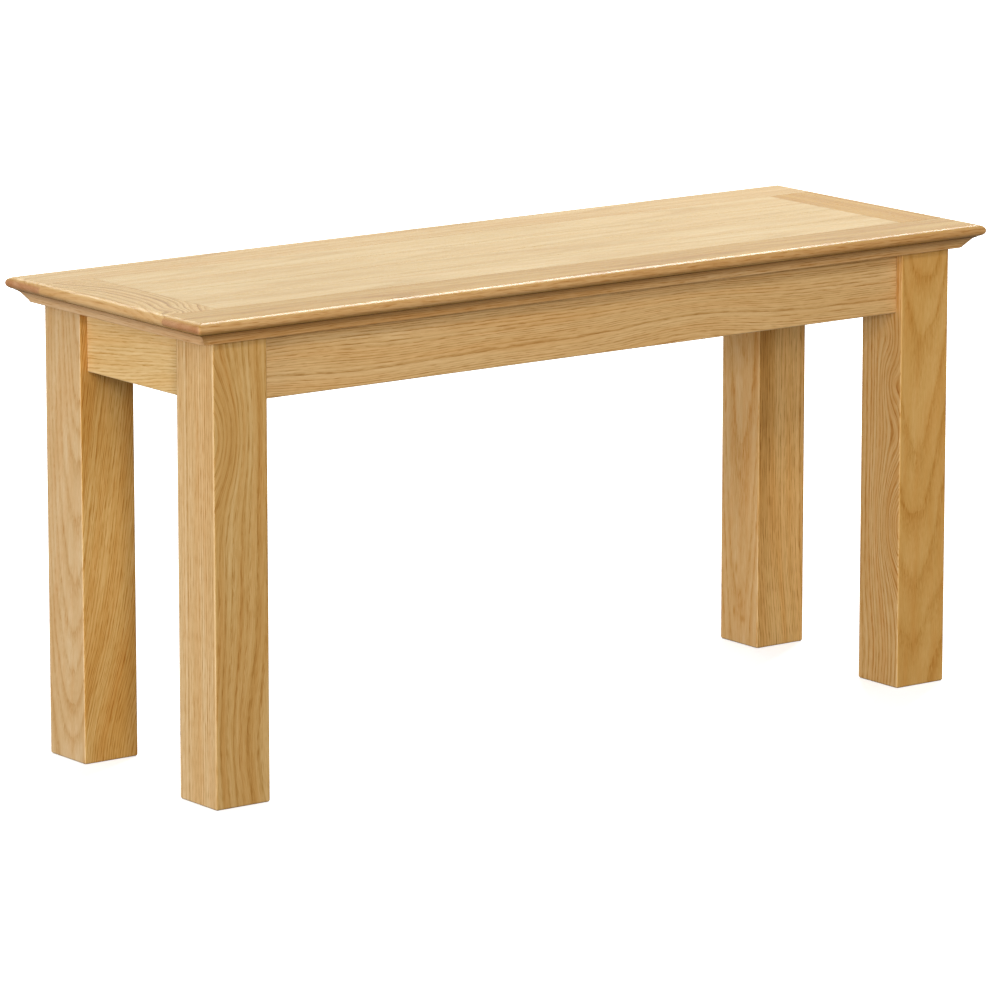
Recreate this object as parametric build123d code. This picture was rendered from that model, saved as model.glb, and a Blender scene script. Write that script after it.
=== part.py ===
from build123d import *
from math import atan2, degrees
import os

# Backless oak bench. A thin framed top with an oval nose sits on a ring of cove moulding, which
# sits on four square legs and four aprons. Millimetres. X runs along the bench, Y from its front
# to its back and Z up. The origin is on the floor under the middle of the bench.

# Overall sizes
bench_height = 460.0
top_length = 936.0
top_depth = 325.0

# Framed top
top_thickness = 12.0
long_rail_width = 60.0
end_rail_width = 60.0
stave_count = 4
nose_depth = 9.0
nose_tip_radius = 4.2
nose_corner_radius = 2.5

# Tongues, grooves and stub tenons of the top
tongue_thickness = 4.0
tongue_length = 6.0
stub_tenon_width = 30.0
groove_end_stop = 15.0
side_gap = 0.1
tip_gap = 0.5

# Cove moulding under the nose
moulding_height = 11.0
moulding_width = 44.0
nose_reveal = 6.5
quirk_height = 1.0
cove_radius = 7.5
lip_arris = 1.0
lip_corner_radius = 10.0
lip_corner_flare = 2.0

# Legs
leg_width = 60.0
end_overhang = 30.0
side_overhang = 22.5
leg_arris_radius = 2.5
foot_chamfer = 2.0

# Aprons and their tenons
apron_height = 60.0
apron_thickness = 20.0
apron_setback = 8.0
apron_arris_radius = 1.5
tenon_thickness = 8.0
tenon_length = 32.0
tenon_shoulder = 8.0

# Cross bearers under the panel
bearer_count = 3
bearer_width = 40.0
bearer_height = 26.0
housing_depth = 6.0

# Corner blocks behind the legs
block_height = 36.0
block_reach = 48.0
block_screw_offset = 24.0

# Countersunk wood screws, one size for bearers and blocks
screw_length = 26.0
screw_thread_length = 14.0
screw_shank_diameter = 4.0
screw_core_diameter = 3.0
screw_head_diameter = 8.0
screw_head_height = 2.2
screw_tip_length = 3.0
screw_tip_diameter = 0.6
screw_slot_width = 1.0
screw_slot_depth = 0.9
screw_gap = 0.1
counterbore_diameter = 9.0
bearer_screw_bite = 8.0

# Heights worked out from the sizes above
top_underside = bench_height - top_thickness
moulding_underside = top_underside - moulding_height
apron_underside = moulding_underside - apron_height
nose_middle = bench_height - top_thickness / 2

# Plan sizes worked out from the sizes above
nose_x = top_length / 2
nose_y = top_depth / 2
panel_x = nose_x - end_rail_width
panel_y = nose_y - long_rail_width
stave_width = 2 * panel_y / stave_count
leg_face_x = nose_x - end_overhang
leg_face_y = nose_y - side_overhang
leg_inner_x = leg_face_x - leg_width
leg_inner_y = leg_face_y - leg_width
apron_inset = apron_setback + apron_thickness
apron_inner_x = leg_face_x - apron_inset
apron_inner_y = leg_face_y - apron_inset
moulding_inner_inset = nose_reveal + moulding_width
bearer_pitch = 2 * panel_x / (bearer_count + 1)


def block(low, high):
    """A rectangular block between two opposite corners."""
    size = [b - a for a, b in zip(low, high)]
    middle = [(a + b) / 2 for a, b in zip(low, high)]
    return Pos(*middle) * Box(*size)


def to_corner(shape, side_x, side_y):
    """Takes a shape made for the front left corner to the corner that the two signs name."""
    if side_x > 0 and side_y > 0:
        return Rot(0, 0, 180) * shape
    if side_x > 0:
        return mirror(shape, about=Plane.YZ)
    if side_y > 0:
        return mirror(shape, about=Plane.XZ)
    return shape


# Top
def nosed_section(width):
    """Section across a slab of this width with an oval nose on each edge.

    A small arc at the tip runs into a larger arc above and below it, which ends flush with the face.
    """
    edge = width / 2
    half = top_thickness / 2
    start = edge - nose_depth
    run = nose_depth - nose_tip_radius
    shoulder_radius = (run**2 + half**2 - nose_tip_radius**2) / (2 * (half - nose_tip_radius))
    drop = shoulder_radius - half
    turn = degrees(atan2(drop, run))
    outline = [
        Line((0, half), (start, half)),
        CenterArc((start, -drop), shoulder_radius, turn, 90 - turn),
        CenterArc((edge - nose_tip_radius, 0), nose_tip_radius, -turn, 2 * turn),
        CenterArc((start, drop), shoulder_radius, -90, 90 - turn),
        Line((start, -half), (0, -half)),
        Line((0, -half), (0, half)),
    ]
    one_side = make_face(outline)
    return one_side + mirror(one_side, about=Plane.YZ)


def nose_corner_trim():
    """What is cut off the front left corner of the top, so that the tip turns it on a small radius."""
    x = -nose_x + nose_corner_radius
    y = -nose_y + nose_corner_radius
    kept = Pos(x, y, nose_middle) * Cylinder(nose_corner_radius, 2 * top_thickness)
    outside = block(
        (-nose_x - nose_corner_radius, -nose_y - nose_corner_radius, top_underside - top_thickness / 4),
        (x, y, bench_height + top_thickness / 4),
    )
    return outside - kept


def top_blank():
    """The whole top before it is cut up: a slab whose nosed edges meet in a mitre at each corner."""
    along = extrude(Plane.YZ * nosed_section(top_depth), amount=nose_x, both=True)
    across = extrude(Plane.XZ * nosed_section(top_length), amount=nose_y, both=True)
    blank = Pos(0, 0, nose_middle) * (along & across)
    for side_x in (-1, 1):
        for side_y in (-1, 1):
            blank -= to_corner(nose_corner_trim(), side_x, side_y)
    return blank


def layer(x0, x1, y0, y1, thickness):
    """A flat block of this thickness about the middle of the top's own thickness."""
    return block((x0, y0, nose_middle - thickness / 2), (x1, y1, nose_middle + thickness / 2))


def groove(x0, x1, y0, y1):
    """The hollow that a tongue fits, with the side gap above and below it."""
    return layer(x0, x1, y0, y1, tongue_thickness + 2 * side_gap)


def top_rail(blank):
    """The front long rail, with one groove for the panel's tongue and the end rails' stub tenons."""
    reach = nose_x - groove_end_stop
    depth = tongue_length + tip_gap
    rail = blank & layer(-nose_x, nose_x, -nose_y, -panel_y, top_thickness)
    return rail - groove(-reach, reach, -panel_y - depth, -panel_y)


def end_rail(blank):
    """The left end rail, with a stub tenon at each end and a groove for the staves' tongues."""
    tenon_start = -nose_x + groove_end_stop + tip_gap
    depth = tongue_length + tip_gap
    rail = blank & layer(-nose_x, -panel_x, -panel_y, panel_y, top_thickness)
    rail -= groove(-panel_x - depth, -panel_x, -panel_y, panel_y)
    reach = panel_y + tongue_length
    tenon = layer(tenon_start, tenon_start + stub_tenon_width, -reach, reach, tongue_thickness)
    return rail + tenon


def stave(index):
    """One stave of the panel, counted from the front, with a tongue on each edge that meets a rail."""
    y0 = -panel_y + index * stave_width
    y1 = y0 + stave_width
    end = panel_x + tongue_length
    body = layer(-panel_x, panel_x, y0, y1, top_thickness)
    body += layer(-end, end, y0, y1, tongue_thickness)
    if index == 0:
        body += layer(-panel_x, panel_x, y0 - tongue_length, y0, tongue_thickness)
    if index == stave_count - 1:
        body += layer(-panel_x, panel_x, y1, y1 + tongue_length, tongue_thickness)
    for x, y in bearer_screw_places():
        if y0 < y < y1:
            body -= Pos(x, y, top_underside) * pilot_hole(bearer_screw_bite)
    return body


# Cove moulding
def moulding_profile():
    """Section of the moulding: x is the distance in from the nose and y is the height."""
    inner = moulding_inner_inset
    lip = nose_reveal + cove_radius
    cove_top = (nose_reveal, top_underside - quirk_height)
    cove_foot = (lip, top_underside - quirk_height - cove_radius)
    cove_middle = (nose_reveal, top_underside - quirk_height - cove_radius)
    outline = [
        Line(cove_top, (nose_reveal, top_underside)),
        Line((nose_reveal, top_underside), (inner, top_underside)),
        Line((inner, top_underside), (inner, moulding_underside)),
        Line((inner, moulding_underside), (lip + lip_arris, moulding_underside)),
        Line((lip + lip_arris, moulding_underside), (lip, moulding_underside + lip_arris)),
        Line((lip, moulding_underside + lip_arris), cove_foot),
        CenterArc(cove_middle, cove_radius, 0, 90),
    ]
    return make_face(outline)


def lip_corner_trim():
    """What is cut off the front left corner, so that the lip turns it on a radius.

    Above the lip the cut flares out, so the mitre stays sharp under the nose.
    """
    centre_inset = nose_reveal + cove_radius + lip_corner_radius
    x = -nose_x + centre_inset
    y = -nose_y + centre_inset
    cove_foot = top_underside - quirk_height - cove_radius
    rise = top_underside - cove_foot
    section = Polygon(
        (0, moulding_underside),
        (lip_corner_radius - lip_arris, moulding_underside),
        (lip_corner_radius, moulding_underside + lip_arris),
        (lip_corner_radius, cove_foot),
        (lip_corner_radius + lip_corner_flare * rise, top_underside),
        (0, top_underside),
        align=None,
    )
    kept = Pos(x, y, 0) * revolve(Plane.XZ * section, axis=Axis.Z)
    return block((-nose_x, -nose_y, moulding_underside), (x, y, top_underside)) - kept


def moulding_strip(half_run, half_other):
    """The front strip of a ring with these half sizes, its ends mitred to the corners of the nose."""
    inset = moulding_inner_inset
    profile = Plane.YZ * moulding_profile()
    strip = Pos(-half_run, -half_other, 0) * extrude(profile, amount=2 * half_run)
    plan = Polygon(
        (-half_run, -half_other),
        (half_run, -half_other),
        (half_run - inset, -half_other + inset),
        (-half_run + inset, -half_other + inset),
        align=None,
    )
    return strip & Pos(0, 0, moulding_underside) * extrude(plan, amount=moulding_height)


def trim_corners(strip):
    """Rounds the lip of a strip at every corner of the ring that it reaches."""
    for side_x in (-1, 1):
        for side_y in (-1, 1):
            strip -= to_corner(lip_corner_trim(), side_x, side_y)
    return strip


# Legs
def leg():
    """The front left leg, with a mortise for each of its two aprons."""
    post = block((-leg_face_x, -leg_face_y, 0), (-leg_inner_x, -leg_inner_y, moulding_underside))
    post = fillet(post.edges().filter_by(Axis.Z), leg_arris_radius)
    post = chamfer(post.faces().sort_by(Axis.Z)[0].edges(), foot_chamfer)
    z0, z1 = tenon_heights(side_gap)
    near, far = tenon_insets(side_gap)
    depth = tenon_length + tip_gap
    post -= block((-leg_inner_x - depth, -leg_face_y + near, z0), (-leg_inner_x, -leg_face_y + far, z1))
    post -= block((-leg_face_x + near, -leg_inner_y - depth, z0), (-leg_face_x + far, -leg_inner_y, z1))
    return post


# Aprons
def tenon_heights(gap):
    """The foot and top of a tenon, or of its mortise with a gap."""
    return apron_underside + tenon_shoulder - gap, moulding_underside - tenon_shoulder + gap


def tenon_insets(gap):
    """How far the two cheeks of a tenon lie in from the leg's outer face."""
    middle = apron_setback + apron_thickness / 2
    return middle - tenon_thickness / 2 - gap, middle + tenon_thickness / 2 + gap


def apron(half_run, face):
    """An apron along X in front of the origin: shoulders at half_run, legs' outer faces at -face."""
    board = block(
        (-half_run, -face + apron_setback, apron_underside),
        (half_run, -face + apron_inset, moulding_underside),
    )
    lower = board.faces().sort_by(Axis.Z)[0].edges().filter_by(Axis.X)
    board = fillet(lower, apron_arris_radius)
    z0, z1 = tenon_heights(0)
    near, far = tenon_insets(0)
    reach = half_run + tenon_length
    return board + block((-reach, -face + near, z0), (reach, -face + far, z1))


def long_apron():
    """The front apron, with housings for the bearers and pilot holes for the corner blocks."""
    board = apron(leg_inner_x, leg_face_y)
    foot = top_underside - bearer_height
    for x in bearer_places():
        half = bearer_width / 2 + side_gap
        board -= block(
            (x - half, -apron_inner_y - housing_depth - side_gap, foot - side_gap),
            (x + half, -apron_inner_y, moulding_underside),
        )
    for side in (-1, 1):
        x = side * (leg_inner_x - block_screw_offset)
        board -= Pos(x, -apron_inner_y, block_middle()) * Rot(90, 0, 0) * pilot_hole(screw_thread_length)
    return board


def end_apron():
    """The left apron, with pilot holes for the corner blocks."""
    board = Rot(0, 0, -90) * apron(leg_inner_y, leg_face_x)
    for side in (-1, 1):
        y = side * (leg_inner_y - block_screw_offset)
        board -= Pos(-apron_inner_x, y, block_middle()) * Rot(0, -90, 0) * pilot_hole(screw_thread_length)
    return board


# Cross bearers
def bearer_places():
    """The middle of each bearer along X."""
    return [(i - (bearer_count - 1) / 2) * bearer_pitch for i in range(bearer_count)]


def bearer_screw_places():
    """One screw for each stave on each bearer."""
    rows = [-panel_y + (i + 0.5) * stave_width for i in range(stave_count)]
    return [(x, y) for x in bearer_places() for y in rows]


def bearer(x):
    """A bearer that lies between the mouldings and drops into a housing in each long apron."""
    foot = top_underside - bearer_height
    half = bearer_width / 2
    moulding_y = nose_y - moulding_inner_inset
    housed = apron_inner_y + housing_depth
    between = min(moulding_y, apron_inner_y)
    bar = block((x - half, -between, foot), (x + half, between, top_underside))
    bar += block((x - half, -housed, foot), (x + half, housed, moulding_underside))
    for place, y in bearer_screw_places():
        if place == x:
            seat = top_underside - screw_length + bearer_screw_bite
            bar -= Pos(x, y, seat) * Rot(180, 0, 0) * clearance_hole(bearer_height)
    return bar


# Corner blocks
def block_middle():
    """Height of the middle of a corner block."""
    return moulding_underside - block_height / 2


def corner_block():
    """The front left corner block: a triangle between two aprons with a notch for the leg."""
    x_apron = -apron_inner_x
    y_apron = -apron_inner_y
    x_leg = -leg_inner_x
    y_leg = -leg_inner_y
    plan = Polygon(
        (x_leg, y_apron),
        (x_leg + block_reach, y_apron),
        (x_apron, y_leg + block_reach),
        (x_apron, y_leg),
        (x_leg, y_leg),
        align=None,
    )
    piece = Pos(0, 0, moulding_underside - block_height) * extrude(plan, amount=block_height)
    for place in block_screw_seats():
        piece -= place * clearance_hole(block_reach)
    return piece


def block_screw_seats():
    """Places of the two screws of the front left block, with Z pointing back along each screw.

    All of a screw's thread is in the apron, so the rest of its length is in the block.
    """
    grip = screw_length - screw_thread_length
    front = Pos(-leg_inner_x + block_screw_offset, -apron_inner_y + grip, block_middle())
    side = Pos(-apron_inner_x + grip, -leg_inner_y + block_screw_offset, block_middle())
    return [front * Rot(-90, 0, 0), side * Rot(0, 90, 0)]


# Screws
def screw():
    """A slotted countersunk screw that points down, with the top of its head at the origin."""
    shank_length = screw_length - screw_thread_length - screw_head_height
    core_length = screw_thread_length - screw_tip_length
    head = Pos(0, 0, -screw_head_height / 2) * Cone(
        screw_shank_diameter / 2, screw_head_diameter / 2, screw_head_height
    )
    shank_middle = -screw_head_height - shank_length / 2
    shank = Pos(0, 0, shank_middle) * Cylinder(screw_shank_diameter / 2, shank_length)
    core_middle = -screw_head_height - shank_length - core_length / 2
    core = Pos(0, 0, core_middle) * Cylinder(screw_core_diameter / 2, core_length)
    tip_middle = -screw_length + screw_tip_length / 2
    tip = Pos(0, 0, tip_middle) * Cone(screw_tip_diameter / 2, screw_core_diameter / 2, screw_tip_length)
    slot = Pos(0, 0, -screw_slot_depth / 2) * Box(screw_head_diameter, screw_slot_width, screw_slot_depth)
    return head + shank + core + tip - slot


def clearance_hole(run):
    """The counterbore, countersink and clearance hole of a screw whose head tops out at the origin."""
    bore = Pos(0, 0, -run / 2) * Cylinder(screw_shank_diameter / 2 + screw_gap, run)
    sink = Pos(0, 0, -screw_head_height / 2) * Cone(
        screw_shank_diameter / 2 + screw_gap, screw_head_diameter / 2 + screw_gap, screw_head_height
    )
    mouth = Pos(0, 0, run / 2) * Cylinder(counterbore_diameter / 2, run)
    return bore + sink + mouth


def pilot_hole(bite):
    """The hole that a screw's core cuts for itself, reaching up from the surface at the origin."""
    depth = bite + tip_gap
    return Pos(0, 0, depth / 2) * Cylinder(screw_core_diameter / 2 + screw_gap, depth)


def bearer_screws():
    """Every screw that holds the staves to the bearers."""
    seat = top_underside - screw_length + bearer_screw_bite
    return [Pos(x, y, seat) * Rot(180, 0, 0) * screw() for x, y in bearer_screw_places()]


def corner_block_screws():
    """Every screw that holds the corner blocks to the aprons."""
    here = [place * screw() for place in block_screw_seats()]
    return [to_corner(one, side_x, side_y) for side_x in (-1, 1) for side_y in (-1, 1) for one in here]


def build_nodes():
    """Every piece of the bench by the name of its node."""
    sides_x = {"left": -1, "right": 1}
    sides_y = {"front": -1, "back": 1}
    nodes = {}
    blank = top_blank()
    front_strip = trim_corners(moulding_strip(nose_x, nose_y))
    left_strip = trim_corners(Rot(0, 0, -90) * moulding_strip(nose_y, nose_x))
    for word_y, side_y in sides_y.items():
        nodes[f"top_rail_{word_y}"] = to_corner(top_rail(blank), -1, side_y)
        nodes[f"cove_moulding_{word_y}"] = to_corner(front_strip, -1, side_y)
        nodes[f"apron_{word_y}"] = to_corner(long_apron(), -1, side_y)
    for word_x, side_x in sides_x.items():
        nodes[f"end_rail_{word_x}"] = to_corner(end_rail(blank), side_x, -1)
        nodes[f"cove_moulding_{word_x}"] = to_corner(left_strip, side_x, -1)
        nodes[f"apron_{word_x}"] = to_corner(end_apron(), side_x, -1)
    for word_y, side_y in sides_y.items():
        for word_x, side_x in sides_x.items():
            nodes[f"leg_{word_y}_{word_x}"] = to_corner(leg(), side_x, side_y)
            nodes[f"corner_block_{word_y}_{word_x}"] = to_corner(corner_block(), side_x, side_y)
    for index in range(stave_count):
        nodes[f"panel_stave_{index + 1}"] = stave(index)
    for index, x in enumerate(bearer_places()):
        nodes[f"cross_bearer_{index + 1}"] = bearer(x)
    nodes["bearer_screws"] = Compound(children=bearer_screws())
    nodes["corner_block_screws"] = Compound(children=corner_block_screws())
    return nodes


os.makedirs("parts", exist_ok=True)
for name, shape in build_nodes().items():
    export_step(shape, f"parts/{name}.step")
    print(f"{name}: {len(shape.solids())} solids, {shape.volume / 1000:.1f} cm3")
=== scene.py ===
# %% [markdown]
# A backless oak bench, dressed for its portrait. The construction comes in as a fixed frame: every leg,
# rail and screw is already in its place at its real size. This lesson gives the visible boards their
# rounded edges as smooth surfaces, gives every board its own oak, and lights and frames the bench.

# %% Load the frame
import math
import bmesh
import bpy
import numpy as np
from mathutils import Matrix, Vector


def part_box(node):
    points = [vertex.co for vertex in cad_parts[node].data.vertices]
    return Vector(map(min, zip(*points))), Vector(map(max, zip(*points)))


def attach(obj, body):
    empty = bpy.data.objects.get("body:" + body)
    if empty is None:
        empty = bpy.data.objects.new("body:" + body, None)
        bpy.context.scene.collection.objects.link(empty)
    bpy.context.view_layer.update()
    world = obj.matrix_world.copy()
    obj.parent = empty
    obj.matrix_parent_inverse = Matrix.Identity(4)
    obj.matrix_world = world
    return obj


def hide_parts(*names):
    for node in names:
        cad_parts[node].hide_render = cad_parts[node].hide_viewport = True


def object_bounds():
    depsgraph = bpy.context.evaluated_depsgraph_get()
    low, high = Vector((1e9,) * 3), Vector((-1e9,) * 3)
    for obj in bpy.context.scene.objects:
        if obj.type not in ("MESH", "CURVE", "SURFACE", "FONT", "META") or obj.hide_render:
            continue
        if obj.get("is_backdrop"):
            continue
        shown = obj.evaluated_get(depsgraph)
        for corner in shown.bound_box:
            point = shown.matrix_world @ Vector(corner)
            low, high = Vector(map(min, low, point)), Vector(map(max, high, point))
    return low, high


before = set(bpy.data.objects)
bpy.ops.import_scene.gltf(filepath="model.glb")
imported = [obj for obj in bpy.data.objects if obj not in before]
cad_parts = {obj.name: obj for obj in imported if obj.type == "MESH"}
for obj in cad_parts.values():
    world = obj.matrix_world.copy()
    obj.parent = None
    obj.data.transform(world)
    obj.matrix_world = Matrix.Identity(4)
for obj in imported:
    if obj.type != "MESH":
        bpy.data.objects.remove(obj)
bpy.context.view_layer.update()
print("frame loaded with", len(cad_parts), "nodes")

# %% [markdown]
# All measures below are in millimetres, as on a workshop drawing, because edges of one or two millimetres
# are easier to read that way. One factor takes them to Blender's metres when a mesh is made. The box of a
# node gives the place of each piece, so nothing here repeats a size that the frame already knows.

# %% Sizes read from the frame
MM = 0.001


def corners(node_name):
    """Lowest and highest corner of a frame node, in millimetres."""
    low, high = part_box(node_name)
    return np.array(low) / MM, np.array(high) / MM


leg_low, leg_high = corners("leg_front_left")
rail_low, rail_high = corners("top_rail_front")
end_high = corners("end_rail_left")[1]
moulding_low, moulding_high = corners("cove_moulding_front")
nose_x = rail_high[0]
nose_y = -rail_low[1]
panel_x = -end_high[0]
panel_y = -rail_high[1]
leg_inner_x = -leg_high[0]
leg_inner_y = -leg_high[1]
leg_width = leg_high[0] - leg_low[0]
top_underside = rail_low[2]
top_face = rail_high[2]
print("top:", round(2 * nose_x), "by", round(2 * nose_y), "mm")
print("panel:", round(2 * panel_x), "by", round(2 * panel_y), "mm")

# %% [markdown]
# A piece of this bench is a closed surface. It could be made by hand in edit mode, or with a cube and a
# stack of modifiers. Working the points out as arrays keeps every edge at its real radius, and a rounded
# nose then costs no more than a square edge. A few helpers do what every piece needs: a grid of points
# becomes four-sided faces, and the points become a smooth-shaded object in the place of its frame node.
# A Weighted Normal modifier lets the broad faces lead the shading, so that they look flat to the arris.

# %% From points to pieces
SHARP_ANGLE = math.radians(38)
WELD = 1e-3 * MM
BROAD_FACES_LEAD = 100


def grid_faces(rows, columns, first=0, around=False):
    """Faces of a grid of points numbered row by row. With around, the last column joins the first."""
    r, c = np.meshgrid(np.arange(rows - 1), np.arange(columns if around else columns - 1), indexing="ij")
    right = (c + 1) % columns
    quads = [r * columns + c, r * columns + right, (r + 1) * columns + right, (r + 1) * columns + c]
    return (np.stack(quads, -1).reshape(-1, 4) + first).tolist()


def tube_faces(stations, count):
    """Faces of a run of closed loops, each of count points, with one face across each end."""
    last = (stations - 1) * count
    ends = [list(range(count))[::-1], list(range(last, last + count))]
    return grid_faces(stations, count, around=True) + ends


def weld_and_face_out(mesh):
    """Merges points that lie on one another, then turns every face outwards."""
    work = bmesh.new()
    work.from_mesh(mesh)
    bmesh.ops.remove_doubles(work, verts=work.verts, dist=WELD)
    bmesh.ops.dissolve_degenerate(work, edges=work.edges, dist=WELD)
    bmesh.ops.recalc_face_normals(work, faces=work.faces)
    work.to_mesh(mesh)
    work.free()


def piece(name, points, faces, node_name):
    """A closed smooth-shaded mesh in the place of a frame node. Points are in millimetres."""
    mesh = bpy.data.meshes.new(name)
    mesh.from_pydata((np.asarray(points).reshape(-1, 3) * MM).tolist(), [], faces)
    made = bpy.data.objects.new(name, mesh)
    bpy.context.scene.collection.objects.link(made)
    weld_and_face_out(mesh)
    mesh.shade_smooth()
    mesh.set_sharp_from_angle(angle=SHARP_ANGLE)
    level = made.modifiers.new("flat faces stay flat", "WEIGHTED_NORMAL")
    level.weight = BROAD_FACES_LEAD
    level.keep_sharp = True
    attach(made, "root")
    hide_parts(node_name)
    return made


print("edges of more than", round(math.degrees(SHARP_ANGLE)), "degrees stay sharp")

# %% [markdown]
# The top is one thin slab cut into rails and staves, with a nose all round. The nose is an oval of three
# tangent arcs, as a router cutter leaves it: a small arc round the tip, and a larger shoulder arc above
# and below that runs out flush with the faces. A bevel would give one radius only, so the section is
# worked out from its own radii.

# %% Section of the nose
NOSE_HALF = (top_face - top_underside) / 2
NOSE_MIDDLE = (top_face + top_underside) / 2
NOSE_DEPTH = 9.0
TIP_RADIUS = 4.2
tip_run = NOSE_DEPTH - TIP_RADIUS
SHOULDER_RADIUS = (tip_run**2 + NOSE_HALF**2 - TIP_RADIUS**2) / (2 * (NOSE_HALF - TIP_RADIUS))
shoulder_drop = SHOULDER_RADIUS - NOSE_HALF
SHOULDER_TURN = math.atan2(tip_run, shoulder_drop)
NOSE_JOIN = TIP_RADIUS * (1 - math.sin(SHOULDER_TURN))
TIP_STEPS = 6
SHOULDER_STEPS = 8


def nose_lines():
    """Insets of a nose's grid lines from the tip inwards, at equal angles on each of its arcs."""
    tip = np.linspace(0, np.pi / 2 - SHOULDER_TURN, TIP_STEPS)
    shoulder = np.linspace(SHOULDER_TURN, 0, SHOULDER_STEPS)
    on_tip = TIP_RADIUS * (1 - np.cos(tip))
    on_shoulder = NOSE_DEPTH - SHOULDER_RADIUS * np.sin(shoulder)
    return np.concatenate([on_tip, on_shoulder[1:]])


def nose_height(inset):
    """Half thickness at an inset u from the tip.

    Up to the join it is sqrt(r^2 - (r - u)^2), with the tip's radius r. Past the join it is
    sqrt(R^2 - (d - u)^2) less the drop of the shoulder's centre, with the shoulder's radius R and the
    nose's depth d.
    """
    on_tip = np.sqrt(np.maximum(TIP_RADIUS**2 - (TIP_RADIUS - inset) ** 2, 0))
    back = np.clip(NOSE_DEPTH - inset, 0, NOSE_DEPTH - NOSE_JOIN)
    on_shoulder = np.sqrt(SHOULDER_RADIUS**2 - back**2) - shoulder_drop
    return np.where(inset < NOSE_JOIN, on_tip, on_shoulder)


print("nose: shoulder radius", round(SHOULDER_RADIUS, 2), "joins the tip", round(NOSE_JOIN, 2), "in")

# %% [markdown]
# Each board is drawn as two sheets over one plan grid: the upper sheet stands the height h above the
# middle of the slab, the lower sheet the same below it. The grid lines crowd together where the nose
# curves. On a joint the wood is full, less an arris too small to feel, which is what draws the fine line
# between two boards. Where two nosed sides meet, the corner is turned on a small radius in plan.

# %% Boards of the top
NOSE_CORNER = 2.5
JOINT_ARRIS = 0.3
LONG_STEP = 12.0
# Keeps a division away from zero, where its result isn't used.
NEVER_ZERO = 1e-9


def ruled(low, high, nosed_low, nosed_high):
    """Grid lines across a board: close together on a nosed side and wide between."""
    joint = np.array([0, JOINT_ARRIS])
    start = low + (nose_lines() if nosed_low else joint)
    stop = high - (nose_lines() if nosed_high else joint)[::-1]
    steps = max(2, int((stop[0] - start[-1]) / LONG_STEP))
    return np.concatenate([start, np.linspace(start[-1], stop[0], steps)[1:-1], stop])


def side_height(distance, nosed):
    """Half thickness at a distance from one side: the nose, or a small arris on a joint."""
    joint = NOSE_HALF - np.maximum(JOINT_ARRIS - distance, 0)
    return nose_height(distance) if nosed else joint


def round_plan(x, y, low, high, nosed):
    """Turns the square plan corner between two nosed sides into a small quarter circle.

    A point at the level L from the outline lies on a square contour. Within the corner radius of the
    corner, that contour is carried onto an arc of radius (corner - L), so L itself doesn't change.
    """
    x = x.copy()
    y = y.copy()
    for sx, side_x in ((-1, "x0"), (1, "x1")):
        for sy, side_y in ((-1, "y0"), (1, "y1")):
            if side_x not in nosed or side_y not in nosed:
                continue
            edge_x = high[0] if sx > 0 else low[0]
            edge_y = high[1] if sy > 0 else low[1]
            dx = np.abs(edge_x - x)
            dy = np.abs(edge_y - y)
            reach = NOSE_CORNER - np.minimum(dx, dy)
            off = np.abs(dx - dy)
            turn = (reach > 0) & (off < reach)
            share = np.where(turn, off / np.maximum(reach, NEVER_ZERO), 0)
            angle = np.pi / 4 + np.where(dx > dy, 1, -1) * share * np.pi / 4
            x = np.where(turn, edge_x - sx * (NOSE_CORNER - reach * np.cos(angle)), x)
            y = np.where(turn, edge_y - sy * (NOSE_CORNER - reach * np.sin(angle)), y)
    return x, y


def board(name, node_name, slot, low, high, nosed):
    """One board of the top between two plan corners. nosed names the sides that carry the nose."""
    xs = ruled(low[0], high[0], "x0" in nosed, "x1" in nosed)
    ys = ruled(low[1], high[1], "y0" in nosed, "y1" in nosed)
    x, y = np.meshgrid(xs, ys, indexing="ij")
    heights = [
        side_height(x - low[0], "x0" in nosed),
        side_height(high[0] - x, "x1" in nosed),
        side_height(y - low[1], "y0" in nosed),
        side_height(high[1] - y, "y1" in nosed),
    ]
    h = np.minimum.reduce(heights)
    x, y = round_plan(x, y, low, high, nosed)
    upper = np.stack([x, y, NOSE_MIDDLE + h], -1)
    lower = np.stack([x, y, NOSE_MIDDLE - h], -1)
    n, m = x.shape
    points = np.concatenate([upper.reshape(-1, 3), lower.reshape(-1, 3)])
    faces = grid_faces(n, m) + grid_faces(n, m, n * m)
    ids = np.arange(n * m).reshape(n, m)
    for rim in (ids[0], ids[-1], ids[:, 0], ids[:, -1]):
        faces += np.stack([rim[:-1], rim[1:], rim[1:] + n * m, rim[:-1] + n * m], -1).tolist()
    return piece(name, points, faces, node_name)


print("a nosed side has", len(nose_lines()), "grid lines")

# %% [markdown]
# The long rails run the whole length of the top, the end rails are butted between them, and the staves of
# the flush panel fill the frame. Which sides of a board carry the nose is all that tells them apart.

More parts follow.
